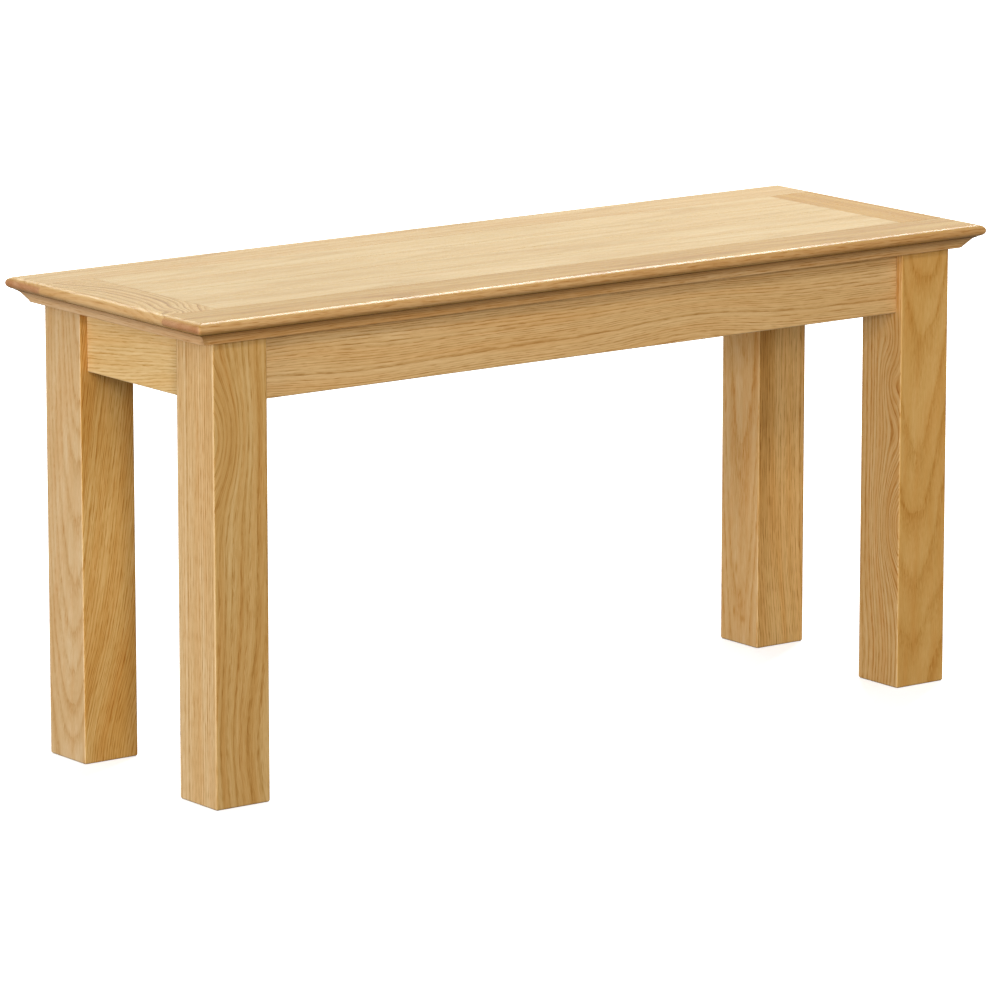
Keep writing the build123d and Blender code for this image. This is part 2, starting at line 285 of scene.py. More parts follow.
# %% The rails and staves
boards = {}
for word, side in (("front", -1), ("back", 1)):
    y = sorted((side * nose_y, side * panel_y))
    edge = "y0" if side < 0 else "y1"
    boards[f"rail_{word}"] = board(
        f"rail_{word}", f"top_rail_{word}", "oak_rails",
        (-nose_x, y[0]), (nose_x, y[1]), {"x0", "x1", edge},
    )
for word, side in (("left", -1), ("right", 1)):
    x = sorted((side * nose_x, side * panel_x))
    edge = "x0" if side < 0 else "x1"
    boards[f"rail_{word}"] = board(
        f"rail_{word}", f"end_rail_{word}", "oak_rails",
        (x[0], -panel_y), (x[1], panel_y), {edge},
    )
stave_names = sorted(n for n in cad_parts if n.startswith("panel_stave"))
stave_width = 2 * panel_y / len(stave_names)
for index, node_name in enumerate(stave_names):
    y = -panel_y + index * stave_width
    boards[f"stave_{index + 1}"] = board(
        f"stave_{index + 1}", node_name, "oak_panel", (-panel_x, y), (panel_x, y + stave_width), set()
    )
print("boards of the top:", len(boards))

# %% [markdown]
# Legs and aprons are straight sections carried along a run. A bevelled box would come close, but here the
# arris along a board and the ease at its ends are of different sizes. A section is a rounded rectangle,
# and a station of the run may draw it in a little, which eases the foot of a leg and the shoulder of an
# apron where it meets the leg.

# %% Sections along a run
LEG_ARRIS = 1.6
FOOT_EASE = 2.0
APRON_ARRIS = 1.5
SHOULDER_EASE = 0.9
ARC_STEPS = 7
EASE_STEPS = 5


def rounded_section(size, radii, inset):
    """Loops of a rounded rectangle about its middle, one for each inset. radii go round from (+, +).

    A corner is an arc: its centre plus its radius times (cos t, sin t).
    """
    t = np.linspace(0, np.pi / 2, ARC_STEPS)
    loops = []
    for quarter, (sx, sy) in enumerate(((1, 1), (-1, 1), (-1, -1), (1, -1))):
        radius = radii[quarter]
        angle = t + quarter * np.pi / 2
        cx = sx * (size[0] / 2 - radius)
        cy = sy * (size[1] / 2 - radius)
        loops.append(np.stack([cx + radius * np.cos(angle), cy + radius * np.sin(angle)], -1))
    loop = np.concatenate(loops)
    shrink = 1 - 2 * np.asarray(inset)[:, None, None] / np.array(size)
    return loop[None] * shrink


def carried(name, node_name, sections, run, place):
    """A solid from section loops at stations of a run, closed by a face at each end.

    place turns (across, up, along) into x, y, z.
    """
    stations, count, _ = sections.shape
    along = np.broadcast_to(np.asarray(run)[:, None], (stations, count))
    points = place(sections[..., 0], sections[..., 1], along)
    return piece(name, np.stack(points, -1), tube_faces(stations, count), node_name)


def eased(length, ease_start, ease_end):
    """Stations along a run and how far each draws the section in: a quarter round at both ends."""
    t = np.linspace(0, np.pi / 2, EASE_STEPS)
    start = ease_start * (1 - np.cos(t))
    stop = length - ease_end * (1 - np.cos(t))[::-1]
    run = np.concatenate([start, stop])
    inset = np.concatenate([ease_start * (1 - np.sin(t)), ease_end * (1 - np.sin(t))[::-1]])
    return run, inset


print("an arris is drawn with", ARC_STEPS, "lines, an eased end with", EASE_STEPS)

# %% [markdown]
# A leg stands its run up, and an apron lays it along the bench or across it. The upper edges of an apron
# hide under the top, so only the lower two have an arris that a hand could feel.


# %% Legs and aprons
def upright(middle):
    """Stands a run up from the floor around a middle."""
    return lambda across, deep, along: (across + middle[0], deep + middle[1], along)


def lying(middle, half_run, lengthwise):
    """Lays a run along X or along Y, with its middle on the bench's middle."""
    if lengthwise:
        return lambda across, up, along: (along - half_run, across + middle[1], up + middle[2])
    return lambda across, up, along: (across + middle[0], along - half_run, up + middle[2])


legs = {}
leg_run, leg_inset = eased(leg_high[2], FOOT_EASE, SHOULDER_EASE)
leg_sections = rounded_section((leg_width, leg_width), [LEG_ARRIS] * 4, leg_inset)
for word_y, sy in (("front", -1), ("back", 1)):
    for word_x, sx in (("left", -1), ("right", 1)):
        word = f"{word_y}_{word_x}"
        place = upright((sx * (leg_inner_x + leg_width / 2), sy * (leg_inner_y + leg_width / 2)))
        legs[word] = carried(f"post_{word}", f"leg_{word}", leg_sections, leg_run, place)

aprons = {}
apron_radii = [SHOULDER_EASE, SHOULDER_EASE, APRON_ARRIS, APRON_ARRIS]
for word in ("front", "back", "left", "right"):
    low, high = corners(f"apron_{word}")
    lengthwise = word in ("front", "back")
    half_run = leg_inner_x if lengthwise else leg_inner_y
    thickness = (high - low)[1 if lengthwise else 0]
    run, inset = eased(2 * half_run, SHOULDER_EASE, SHOULDER_EASE)
    sections = rounded_section((thickness, high[2] - low[2]), apron_radii, inset)
    place = lying((low + high) / 2, half_run, lengthwise)
    aprons[word] = carried(f"board_{word}", f"apron_{word}", sections, run, place)
apron_outer_y = -corners("apron_front")[0][1]
apron_outer_x = -corners("apron_left")[0][0]
print("legs:", len(legs), "aprons:", len(aprons))

# %% [markdown]
# The cove moulding is a profile carried round the bench and mitred at its corners. Seen in section it
# leaves the nose's underside at a low slope, hollows in on a wide arc and ends in a nearly upright lip.
# The mitre is crisp under the nose, but the lip turns the corner on a radius, as if a sanding block had
# gone round it. A curve object with a bevel profile would mitre every point alike, so here each point of
# the profile has its own corner radius, which grows down the hollow.

# %% Section of the moulding
NOSE_REVEAL = 6.0
COVE_RADIUS = 11.7
COVE_START = math.radians(16.5)
COVE_END = math.radians(66)
LIP_INSET = 14.0
LIP_HEIGHT = 2.5
LIP_ARRIS = 1.0
LIP_CORNER = 10.0
CORNER_FADE = 3.5
COVE_STEPS = 11
LIP_STEPS = 6
moulding_top = moulding_high[2]
moulding_foot = moulding_low[2]
moulding_inner = nose_y + moulding_high[1]


def moulding_section():
    """Profile as inset from the nose, height, and the radius on which each point turns the corner.

    The hollow is an arc: inset and height are its middle plus radius times (sin t, cos t).
    """
    t = np.linspace(COVE_START, COVE_END, COVE_STEPS)
    middle_in = NOSE_REVEAL - COVE_RADIUS * math.sin(COVE_START)
    middle_up = moulding_top - COVE_RADIUS * math.cos(COVE_START)
    hollow = np.stack([middle_in + COVE_RADIUS * np.sin(t), middle_up + COVE_RADIUS * np.cos(t)], -1)
    foot = moulding_foot + LIP_HEIGHT
    turn = np.linspace(0, np.pi / 2, LIP_STEPS)
    ease_in = LIP_INSET + LIP_ARRIS * (1 - np.cos(turn))
    ease_up = moulding_foot + LIP_ARRIS * (1 - np.sin(turn))
    rest = [[moulding_inner, moulding_foot], [moulding_inner, moulding_top], [NOSE_REVEAL, moulding_top]]
    profile = np.concatenate([hollow, np.stack([ease_in, ease_up], -1), np.array(rest)])
    rise = np.clip(1 - (profile[:, 1] - foot) / CORNER_FADE, 0, 1)
    radius = LIP_CORNER * rise**2
    radius[-len(rest):] = 0
    return profile, radius


print("moulding profile:", len(moulding_section()[0]), "points")

# %% [markdown]
# A strip starts on the mitre, where its length and its inset are equal, and then runs straight. Close to
# the mitre its stations crowd together, so that the lip's turn comes out round. All four strips are made
# as the front one is, each to its own length, and turned about the middle of the bench.

# %% The four mitred strips
MITRE_STATIONS = 13
PAST_CORNER = 4.0


def moulding(name, node_name, half_run, half_other, place):
    """A mitred strip. place turns (along, across) of the front strip into x, y.

    A point with the corner radius r starts on the mitre and follows x = u + r - r cos t and
    y = u + r - r sin t, with u its inset and t from 45 to 90 degrees, before it runs straight.
    """
    profile, radius = moulding_section()
    u = profile[None, :, 0]
    z = profile[None, :, 1]
    rho = radius[None, :]
    near = np.append(np.linspace(0, LIP_CORNER, MITRE_STATIONS), LIP_CORNER + PAST_CORNER)[:, None]
    turning = near < rho
    angle = np.pi / 4 * (1 + near / np.maximum(rho, NEVER_ZERO))
    along = np.where(turning, u + rho - rho * np.cos(angle), u + near)
    across = np.where(turning, u + rho - rho * np.sin(angle), u + 0 * near)
    runs = np.concatenate([-half_run + along, half_run - along[::-1]])
    insets = np.concatenate([across, across[::-1]])
    x, y = place(runs, -half_other + insets)
    points = np.stack([x, y, np.broadcast_to(z, x.shape)], -1)
    return piece(name, points, tube_faces(len(runs), len(profile)), node_name)


mouldings = {
    "front": moulding("cove_front", "cove_moulding_front", nose_x, nose_y, lambda s, d: (s, d)),
    "back": moulding("cove_back", "cove_moulding_back", nose_x, nose_y, lambda s, d: (-s, -d)),
    "left": moulding("cove_left", "cove_moulding_left", nose_y, nose_x, lambda s, d: (d, -s)),
    "right": moulding("cove_right", "cove_moulding_right", nose_y, nose_x, lambda s, d: (-d, s)),
}
print("mouldings:", len(mouldings))

# %% [markdown]
# Oak is a ring-porous wood under clear satin lacquer. Every spring the tree lays down a row of wide
# pores, which reads as a brown line, and then dense, paler summer wood. A board shows whatever its faces
# cut through: straight lines where they cross the rings, arches where they graze them, and a swirl beside
# a knot. Painting that by hand on each face would never meet at the edges, so the colour is worked out
# inside the wood instead. Each board is placed in its own log, and a Mapping node finds how far a point
# lies from the pith. To read a face, its figure is given as one looks at it: how far across from its left
# edge, how far up, and how deep behind it.

# %% Places on a face
SIDES = {
    "left": (Vector((0, -1, 0)), Vector((0, 0, 1)), Vector((1, 0, 0))),
    "front": (Vector((1, 0, 0)), Vector((0, 0, 1)), Vector((0, 1, 0))),
    "top": (Vector((1, 0, 0)), Vector((0, 1, 0)), Vector((0, 0, -1))),
}


def on_face(side, origin, across, up, depth):
    """The point that lies across and up from a face's origin, and depth behind the face, all in mm."""
    right, rise, inward = SIDES[side]
    return Vector(origin) + across * right + up * rise + depth * inward


def log_axis(side, grain, lean):
    """Direction of the log's middle: along the grain, with its slopes in the face and into the board."""
    right, rise, inward = SIDES[side]
    along, other = (rise, right) if grain == "up" else (right, rise)
    return (along + lean[0] * other + lean[1] * inward).normalized()


def log_rotation(axis, inward):
    """Turns the log's own X axis to its middle, with Z as near as can be to the way into the board."""
    deep = (inward - axis * inward.dot(axis)).normalized()
    return Matrix((axis, deep.cross(axis), deep)).transposed().to_euler()


print("faces read from the", ", ".join(SIDES))

# %% [markdown]
# A material is a tree of nodes. By hand one would add each and pull its links. Here one small function
# adds a node with its settings and links, and gives back the output that the next node reads. Colours
# are written as sRGB hex, as one would pick them.


# %% Colour and nodes
def linear(hex_code):
    """An sRGB hex colour as linear RGBA."""
    values = [int(hex_code[i:i + 2], 16) / 255 for i in (1, 3, 5)]
    return tuple(v / 12.92 if v <= 0.04045 else ((v + 0.055) / 1.055) ** 2.4 for v in values) + (1.0,)


def node(tree, kind, inputs, out=0, **settings):
    """Adds one shader node and gives the output that out names, or all of them where out is None.

    inputs names its sockets, with a value or a link each; settings its properties.
    """
    made = tree.nodes.new("ShaderNode" + kind)
    stops = settings.pop("stops", ())
    for key, value in settings.items():
        setattr(made, key, value)
    for key, value in inputs.items():
        if isinstance(value, bpy.types.NodeSocket):
            tree.links.new(value, made.inputs[key])
        else:
            made.inputs[key].default_value = value
    for index, (position, level) in enumerate(stops):
        ramp = made.color_ramp.elements
        element = ramp[index] if index < len(ramp) else ramp.new(position)
        element.position = position
        element.color = (level, level, level, 1)
    return made.outputs if out is None else made.outputs[out]


def fresh_tree(owner):
    """The empty node tree of a material or a world."""
    owner.use_nodes = True
    owner.node_tree.nodes.clear()
    return owner.node_tree


print("half grey, #808080, is", round(linear("#808080")[0], 3), "in linear light")

# %% [markdown]
# Everything in the wood that isn't a ring is a layer of marks, long in the grain and narrow across it:
# pores, fibres, bands of richer heartwood, and the slow sway of the rings themselves. Each is the same
# smooth noise, stretched to the size of its marks and cut at two levels. Sizes are in millimetres, along
# the grain and across it. A real pore is only about 0.25 mm wide, which is too fine for the render, so
# pores are drawn three times as wide and fibres five times, just coarse enough to show.

# %% Marks in the wood
PORE_DASHES = (12, 0.8, 0.5, 0.62)
FIBRES = (28, 1.3, 0.25, 0.75)
LINE_BREAKS = (30, 1.6, 0.34, 0.62)
BROAD_BANDS = (260, 14, 0.3, 0.7)
HEARTWOOD = (180, 8, 0.4, 0.7)
SLOW_SWAY = (240, 45, 0, 1)
QUICK_RIPPLE = (34, 7, 0, 1)


def marks(tree, place, kind, weak, strong):
    """A layer of marks of one kind: their length and width, and the two levels that cut the noise.

    The noise is read at place over that length and width, so they are in the unit of place, which is mm
    in a log. Between the two levels the layer climbs from weak to strong.
    """
    along, across, low, high = kind
    size = (1 / along, 1 / across, 1 / across)
    placed = node(tree, "VectorMath", {0: place, 1: size}, operation="MULTIPLY")
    cloud = node(tree, "TexNoise", {"Vector": placed, "Scale": 1.0, "Detail": 1.0})
    levels = {"Value": cloud, "From Min": low, "From Max": high, "To Min": weak, "To Max": strong}
    return node(tree, "MapRange", levels)


print("a pore is drawn", PORE_DASHES[0], "mm long and", PORE_DASHES[1], "mm wide")

# %% [markdown]
# The rings are contours of one field: the distance from the pith, bent by slow noise and by a few humps
# that stand where a branch pushed the rings aside. A wave texture would give rings too, but not rings
# that turn round a knot. The fibres and pores follow the same bends, because they are read from the log
# as it would be with its rings pulled straight.

# %% The field of the rings
INVERSE_E = 0.3679
HUMP_DEPTH = 40.0


def hump(tree, place, side, origin, across, up, wide, high):
    """A soft hump on a face: e^-(r^2), with r the distance from its middle in its own half sizes."""
    right, rise, inward = SIDES[side]
    reach = [abs(v) * MM for v in wide * right + high * rise + HUMP_DEPTH * inward]
    middle = on_face(side, origin, across, up, 0) * MM
    placed = {"Vector": place, "Location": middle, "Scale": reach}
    near = node(tree, "Mapping", placed, vector_type="TEXTURE")
    square = node(tree, "VectorMath", {0: near, 1: near}, operation="DOT_PRODUCT", out="Value")
    return node(tree, "Math", {0: INVERSE_E, 1: square}, operation="POWER")


def ring_field(tree, place, log, side, origin, bends, sway, ripple):
    """The distance from the pith plus its bends, and the log's point with the rings pulled straight.

    A bend is a hump given as (across, up, wide, high, shift), and adds shift times that hump. The
    straight point is the log's point times field over distance, across the log.
    """
    flat = node(tree, "VectorMath", {0: log, 1: (0, 1, 1)}, operation="MULTIPLY")
    radius = node(tree, "VectorMath", {0: flat}, operation="LENGTH", out="Value")
    slow = marks(tree, log, SLOW_SWAY, -sway, sway)
    quick = marks(tree, log, QUICK_RIPPLE, -ripple, ripple)
    field = node(tree, "Math", {0: radius, 1: slow}, operation="ADD")
    field = node(tree, "Math", {0: field, 1: quick}, operation="ADD")
    for across, up, wide, high, shift in bends:
        bend = {0: hump(tree, place, side, origin, across, up, wide, high), 1: shift, 2: field}
        field = node(tree, "Math", bend, operation="MULTIPLY_ADD")
    pull = node(tree, "Math", {0: field, 1: radius}, operation="DIVIDE")
    pulls = node(tree, "CombineXYZ", {0: 1.0, 1: pull, 2: pull})
    straight = node(tree, "VectorMath", {0: log, 1: pulls}, operation="MULTIPLY")
    return field, straight


print("a hump reaches", HUMP_DEPTH, "mm into the wood")

# %% [markdown]
# A ramp turns the field into years. It starts dark, at the row of spring pores, fades through the summer
# and ends with the next row. Good years are wide and poor ones narrow, and some springs leave hardly a
# line, so the years are uneven and each line has a strength of its own.

# %% The oak's year
RING_STOPS = ((0.0, 1.0), (0.14, 0.8), (0.38, 0.25), (0.62, 0.0), (0.86, 0.05), (1.0, 0.55))
UNEVEN_YEARS = 2.2
RUN_OF_YEARS = 0.23
FAINT_YEAR = 0.4


def spring_lines(tree, field, ring):
    """The row of pores of each year, from 0 to 1, and how strong that year's line is.

    A point's year is its field over the ring width, plus slow noise.
    """
    years = node(tree, "Math", {0: field, 1: ring}, operation="DIVIDE")
    slow = {"W": years, "Scale": RUN_OF_YEARS, "Detail": 1.0}
    weather = node(tree, "TexNoise", slow, noise_dimensions="1D")
    uneven = node(tree, "Math", {0: weather, 1: UNEVEN_YEARS, 2: years}, operation="MULTIPLY_ADD")
    season = node(tree, "Math", {0: uneven}, operation="FRACT")
    year = node(tree, "Math", {0: uneven}, operation="FLOOR")
    chance = node(tree, "TexWhiteNoise", {"W": year}, noise_dimensions="1D", out="Value")
    weight = node(tree, "MapRange", {"Value": chance, "To Min": FAINT_YEAR})
    spring = node(tree, "ValToRGB", {"Fac": season}, stops=RING_STOPS)
    return spring, weight


print("a year is drawn with", len(RING_STOPS), "stops")

# %% [markdown]
# The normal tells what a point of the board shows: end grain, a face, or a rounded arris, where a brush
# leaves less lacquer. There the wood is painted paler, partly for that wear and partly as a painted
# highlight. Painted masks would do the same, but each board would need its own.

# %% What a point of the board shows
SHOWS_ENDS = (0.5, 0.95)
NEARLY_FLAT = (0.72, 0.96)
LOOKS_UP = (0.72, 0.97)


def facings(tree, normal, axis, worn_and_highlit):
    """How much a point shows end grain, how much it looks sideways, and how much paler an arris makes it.

    End grain is the size of normal times axis. On an arris no part of the normal comes near 1, and there
    it is painted paler, as wear and as a painted highlight.
    """
    ends = node(tree, "VectorMath", {0: normal, 1: axis}, operation="DOT_PRODUCT", out="Value")
    ends = node(tree, "Math", {0: ends}, operation="ABSOLUTE")
    low, high = SHOWS_ENDS
    ends = node(tree, "MapRange", {"Value": ends, "From Min": low, "From Max": high})
    size = node(tree, "VectorMath", {0: normal}, operation="ABSOLUTE")
    parts = node(tree, "SeparateXYZ", {0: size}, out=None)
    most = node(tree, "Math", {0: parts[0], 1: parts[1]}, operation="MAXIMUM")
    most = node(tree, "Math", {0: most, 1: parts[2]}, operation="MAXIMUM")
    low, high = LOOKS_UP
    up = {"Value": parts[2], "From Min": low, "From Max": high, "To Min": 1.0, "To Max": 0.0}
    sideways = node(tree, "MapRange", up)
    # An arris is painted paler: partly wear, and partly a painted highlight.
    low, high = NEARLY_FLAT
    rubbed_and_highlit = {"Value": most, "From Min": low, "From Max": high, "To Min": -worn_and_highlit, "To Max": 0.0}
    return ends, sideways, node(tree, "MapRange", rubbed_and_highlit)


print("end grain shows fully within", round(math.degrees(math.acos(SHOWS_ENDS[1]))), "degrees of the log")

# %% [markdown]
# Lacquered oak darkens in two ways. A line is partly a filter, where the light passes the same brown
# pigment a few times more, and partly a groove with shade in it. So one tone is enough for a board: a
# line is that tone raised to a higher power, which makes it browner, and then dimmed. The clear satin
# lacquer over it gives a soft, even gloss, a little less over the pores, which it sinks into.

# %% Lines, pores and fibres
LEAST_LINE = 0.35
PORE_REST = 0.3
NOSE_CALM = 0.15
NOSE_PORES = 1.5
FIBRE = 0.26


def dark_layers(tree, straight, spring, weight, figure, pores, sideways):
    """The layers that darken the wood, which are lines, pores and fibres, and the pores alone as 0 to 1.

    A line is the year's spring row times its strength times the breaks along it. Pores lie close in the
    spring row and rest between. Where sideways is given, a nose calms the lines and opens the pores.
    """
    broken = marks(tree, straight, LINE_BREAKS, LEAST_LINE * figure, figure)
    line = node(tree, "Math", {0: spring, 1: weight}, operation="MULTIPLY")
    line = node(tree, "Math", {0: line, 1: broken}, operation="MULTIPLY")
    dash = marks(tree, straight, PORE_DASHES, 0, 1)
    crowd = node(tree, "MapRange", {"Value": spring, "To Min": PORE_REST * pores, "To Max": pores})
    pore = node(tree, "Math", {0: dash, 1: crowd}, operation="MULTIPLY")
    fibre = marks(tree, straight, FIBRES, -FIBRE * pores, FIBRE * pores)
    if sideways:
        calm = node(tree, "MapRange", {"Value": sideways, "To Min": 1.0, "To Max": NOSE_CALM})
        line = node(tree, "Math", {0: line, 1: calm}, operation="MULTIPLY")
        wide_open = node(tree, "MapRange", {"Value": sideways, "To Min": 1.0, "To Max": NOSE_PORES})
        pore = node(tree, "Math", {0: pore, 1: wide_open}, operation="MULTIPLY")
    return (line, pore, fibre), dash


print("between two spring rows the pores are", PORE_REST, "as dark")

# %% [markdown]
# A board isn't one colour either. Its heartwood is a little rosier, the cut fibres of a nose drink more
# lacquer and come out browner, and the ends are browner still.

# %% Tones of a board
END_TONE = "#BE8E66"
HEART_KEEPS = (1.0, 0.95, 0.9, 1)


def tones(tree, straight, tone, routed, ends, sideways):
    """The board's tone, less some green and blue in its heartwood, then the tones of nose and ends."""
    heart = marks(tree, straight, HEARTWOOD, 0, 1)
    plain = linear(tone)
    rosy = tuple(a * b for a, b in zip(plain, HEART_KEEPS))
    ground = node(tree, "Mix", {"Factor": heart, 6: plain, 7: rosy}, data_type="RGBA", out=2)
    if routed:
        nose = {"Factor": sideways, 6: ground, 7: linear(routed)}
        ground = node(tree, "Mix", nose, data_type="RGBA", out=2)
    cut = {"Factor": ends, 6: ground, 7: linear(END_TONE)}
    return node(tree, "Mix", cut, data_type="RGBA", out=2)


print("heartwood keeps", HEART_KEEPS[1], "of its green and", HEART_KEEPS[2], "of its blue")

# %% [markdown]
# Now the parts come together: place the board in its log, read the rings, add up all that darkens, and
# lay the finish on. Satin lacquer is clear, of index 1.5, and gives a low, soft shine. Planed oak
# without it scatters the light.

# %% Oak under lacquer, and oak left bare
CLEAREST = 0.86
END_DEPTH = 0.2
DARKENS = 0.88
LACQUER_INDEX = 1.5
GLOSS_LOST = 0.15
RELIEF = 0.12
PORE_DEPTH = 0.03
# The lacquer mirrors little, as it looks when its glare is kept off it.
LACQUERED = {"name": "lacquered oak", "roughness": 0.22, "specular": 0.05}
PLANED = {"name": "planed oak", "roughness": 0.6, "specular": 0.4}


def oak(board, tone, side, origin, grain, pith, lean=(0, 0), bends=(), stains=(), ring=2.8, figure=0.7,
        sway=3.0, ripple=0.7, pores=0.5, bands=0.1, warm=0.72, worn_and_highlit=0.0, routed=None, finish=LACQUERED):
    """Oak of one mean tone for one board, cut from a log whose middle passes the face at pith.

    pith, bends and stains are seen on the face that looks to that side, in mm from its origin: pith as
    (across, up, depth). The log runs along the grain, up or across, with a slope in the face and into it.
    ring is a year's growth in mm, and sway and ripple how far the rings wander slowly and quickly.
    A bend is (across, up, wide, high, shift), and shifts the rings by that many mm. Each of stains is
    (across, up, wide, high, darker), and is as dark as a line of that strength, or paler where it is
    negative.
    Some are the wood's own tone, and some are painted shade where the bench shades a leg.
    figure, pores and bands are the strengths of the spring lines, of pores with fibres, and of bands.
    warm is the share of the darkness that is brown pigment and not shade. worn is how much paler an arris
    is painted, partly for thinner lacquer and partly as a painted highlight, and routed is the tone that
    the lacquer gives a nose.
    The depth of tone is clearest + ends + warm * darkness + bands - worn, and the colour is the tone
    raised to that depth, times 1 - (1 - warm) * darkness.
    """
    material = bpy.data.materials.new(f"{finish['name']}, {board}")
    tree = fresh_tree(material)
    coordinates = node(tree, "TexCoord", {}, out=None)
    place = coordinates["Object"]
    axis = log_axis(side, grain, lean)
    into_log = {
        "Vector": place,
        "Location": on_face(side, origin, *pith) * MM,
        "Rotation": log_rotation(axis, SIDES[side][2]),
        "Scale": (MM, MM, MM),
    }
    log = node(tree, "Mapping", into_log, vector_type="TEXTURE")
    field, straight = ring_field(tree, place, log, side, origin, bends, sway, ripple)
    spring, weight = spring_lines(tree, field, ring)
    ends, sideways, paler = facings(tree, coordinates["Normal"], axis, worn_and_highlit)
    nose = sideways if routed else None
    (shade, *layers), dash = dark_layers(tree, straight, spring, weight, figure, pores, nose)
    for layer in layers:
        shade = node(tree, "Math", {0: shade, 1: layer}, operation="ADD")
    # A patch darkens as a line does: in places the wood's own tone, in others painted shade.
    for across, up, wide, high, darker in stains:
        stain = {0: hump(tree, place, side, origin, across, up, wide, high), 1: darker, 2: shade}
        shade = node(tree, "Math", stain, operation="MULTIPLY_ADD")
    depth = node(tree, "MapRange", {"Value": ends, "To Min": CLEAREST, "To Max": CLEAREST + END_DEPTH})
    depth = node(tree, "Math", {0: shade, 1: DARKENS * warm, 2: depth}, operation="MULTIPLY_ADD")
    band = marks(tree, straight, BROAD_BANDS, -bands, bands)
    for layer in (band, paler):
        depth = node(tree, "Math", {0: depth, 1: layer}, operation="ADD")
    ground = tones(tree, straight, tone, routed, ends, sideways)
    wood = node(tree, "Gamma", {"Color": ground, "Gamma": depth})
    light = node(tree, "Math", {0: shade, 1: -DARKENS * (1 - warm), 2: 1.0}, operation="MULTIPLY_ADD")
    wood = node(tree, "VectorMath", {0: wood, "Scale": light}, operation="SCALE")
    satin = {"Value": dash, "To Min": finish["roughness"], "To Max": finish["roughness"] + GLOSS_LOST}
    satin = node(tree, "MapRange", satin)
    sunk = {"Strength": RELIEF, "Distance": PORE_DEPTH * MM, "Height": dash}
    relief = node(tree, "Bump", sunk, invert=True)
    surface = {
        "Base Color": wood, "Roughness": satin, "Normal": relief,
        "IOR": LACQUER_INDEX, "Specular IOR Level": finish["specular"],
    }
    node(tree, "OutputMaterial", {"Surface": node(tree, "BsdfPrincipled", surface)}, out=None)
    return material


def dress(thing, *materials):
    """Gives an object these materials and no other."""
    thing.data.materials.clear()
    for material in materials:
        thing.data.materials.append(material)


def how_many(finish):
    """How many materials there are by now whose names start with a finish."""
    return sum(material.name.startswith(finish) for material in bpy.data.materials)


print("lacquered wood: index", LACQUER_INDEX, "roughness from", LACQUERED["roughness"])

# %% [markdown]
# The legs are glued up from two thicknesses and faced, so the figure of one face doesn't run on round the
# arris into the next. Each leg therefore takes two oaks: one for its faces that look along the bench, and
# one for those that look across it. The seam lies in the rounded arris, where a real one would.

# %% Oak of the legs
AHEAD = 0.01
# A leg's arris is painted paler by this much: partly wear, partly a painted highlight along it.
LEG_WEAR_AND_HIGHLIGHT = 0.25


def leg_face(word, side, tone, pith, **figure):
    """The oak of a leg's faces on one side, with pith and bends measured from the face's left foot."""
    low, high = corners(f"leg_{word}")
    origin = (low[0], high[1], 0) if side == "left" else (low[0], low[1], 0)
    title = "side" if side == "left" else "front"
    face = f"{word.replace('_', ' ')} leg, {title} face"
    return oak(face, tone, side, origin, "up", pith, worn_and_highlit=LEG_WEAR_AND_HIGHLIGHT, **figure)


def dress_leg(word, side_oak, front_oak):
    """Gives the faces that look along X the first oak, and those that look along Y the second.

    A face that looks both ways alike, as in the middle of an arris, takes the first.
    """
    leg = legs[word]
    dress(leg, side_oak, front_oak)
    normals = np.empty(len(leg.data.polygons) * 3, np.float32)
    leg.data.polygons.foreach_get("normal", normals)
    normals = np.abs(normals.reshape(-1, 3))
    looks_across = normals[:, 1] > normals[:, 0] + AHEAD
    leg.data.polygons.foreach_set("material_index", looks_across.astype(np.int32))


print("a leg's worn arris is paler by", LEG_WEAR_AND_HIGHLIGHT)

# %% The four legs
# Back left: pale and plain on the side, a broad arch low down. The front face is browner and straight.
dress_leg(
    "back_left",
    leg_face(
        "back_left", "left", "#D0AA77", (44, 90, 56), lean=(0.05, -0.12), ring=5.0, figure=0.4,
        sway=4.0, pores=0.35, warm=0.85,
    ),
    leg_face(
        "back_left", "front", "#C99750", (-150, 250, 10), lean=(0.14, 0), ring=2.6, figure=0.5,
        bands=0.08, bends=((20, 10, 60, 90, 18),),
        # The patch at the top left is painted shade, where the apron shades the front face.
        stains=((26, 200, 24, 70, -0.16), (8, 330, 20, 60, 0.2), (48, 60, 20, 60, 0.1)),
    ),
)
# Front left: close, straight lines give the side its stripes. The front face is dark, with wide arches.
dress_leg(
    "front_left",
    leg_face(
        "front_left", "left", "#D7B07A", (-160, 200, 20), ring=2.9, figure=0.75, sway=1.5, ripple=0.3,
        pores=0.6,
    ),
    leg_face(
        "front_left", "front", "#BF9354", (-140, 200, 10), ring=9.5, figure=0.42, pores=0.4,
        bends=((-4, 350, 32, 52, -44), (30, 60, 40, 80, 12)),
    ),
)
# Back right: a warm, nearly plain side with a few dark spots. Painted shade darkens the front face's
# left.
# Both tones are set lighter than the wood, as painted light against the shade under the bench.
dress_leg(
    "back_right",
    leg_face(
        "back_right", "left", "#E0B173", (34, 75, 60), lean=(0, -0.03), ring=4.0, figure=0.4, warm=0.85,
        # The first patch is painted shade at the top of the side, near its front edge; the small ones are
        # dark spots.
        stains=(
            (54, 330, 12, 60, 0.3), (22, 33, 1.5, 5, 0.6), (36, 27, 3.5, 4, 0.5), (25, 78, 1.5, 6, 0.5),
        ),
    ),
    leg_face(
        "back_right", "front", "#CF9E5A", (-130, 200, 10), ring=3.0, figure=0.5, warm=0.5,
        bands=0.08, bends=((30, -20, 60, 90, -12),),
        # The first patch is the band of painted shade; the second makes the right of the face paler.
        stains=((4, 300, 13, 260, 0.34), (44, 200, 22, 300, -0.12)),
    ),
)
